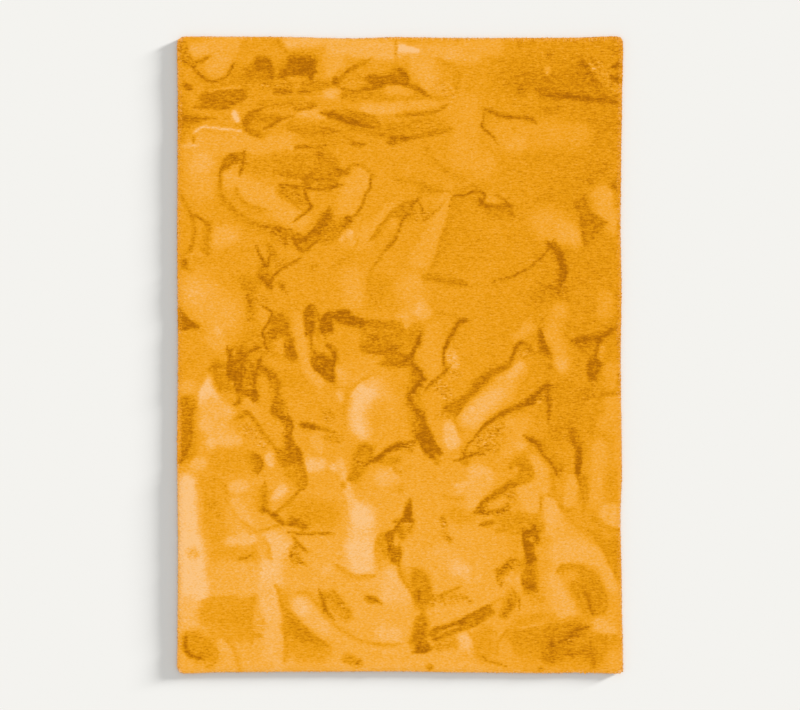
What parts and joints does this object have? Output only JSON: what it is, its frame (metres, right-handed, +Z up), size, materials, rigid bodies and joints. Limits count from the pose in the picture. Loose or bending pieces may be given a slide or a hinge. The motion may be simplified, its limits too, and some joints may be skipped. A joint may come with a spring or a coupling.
{
  "type": "plush area rug",
  "caption": "Rectangular soft-pile floor rug with rounded corners, a rolled pile rim, an uneven hand-swept nap and a flat underside.",
  "frame": {"origin": "middle of the flat underside, on the floor that the rug lies on", "axes": "+X across the rug's width, +Y along its length, +Z up out of the pile"},
  "size_m": [1.4, 2, 0.0202],
  "materials": {
    "plush_pile": "matt dense plush pile, swept by hand into lighter and darker patches"
  },
  "bodies": {
    "root": {"pile_cloth": "plush_pile"}
  },
  "joints": []
}
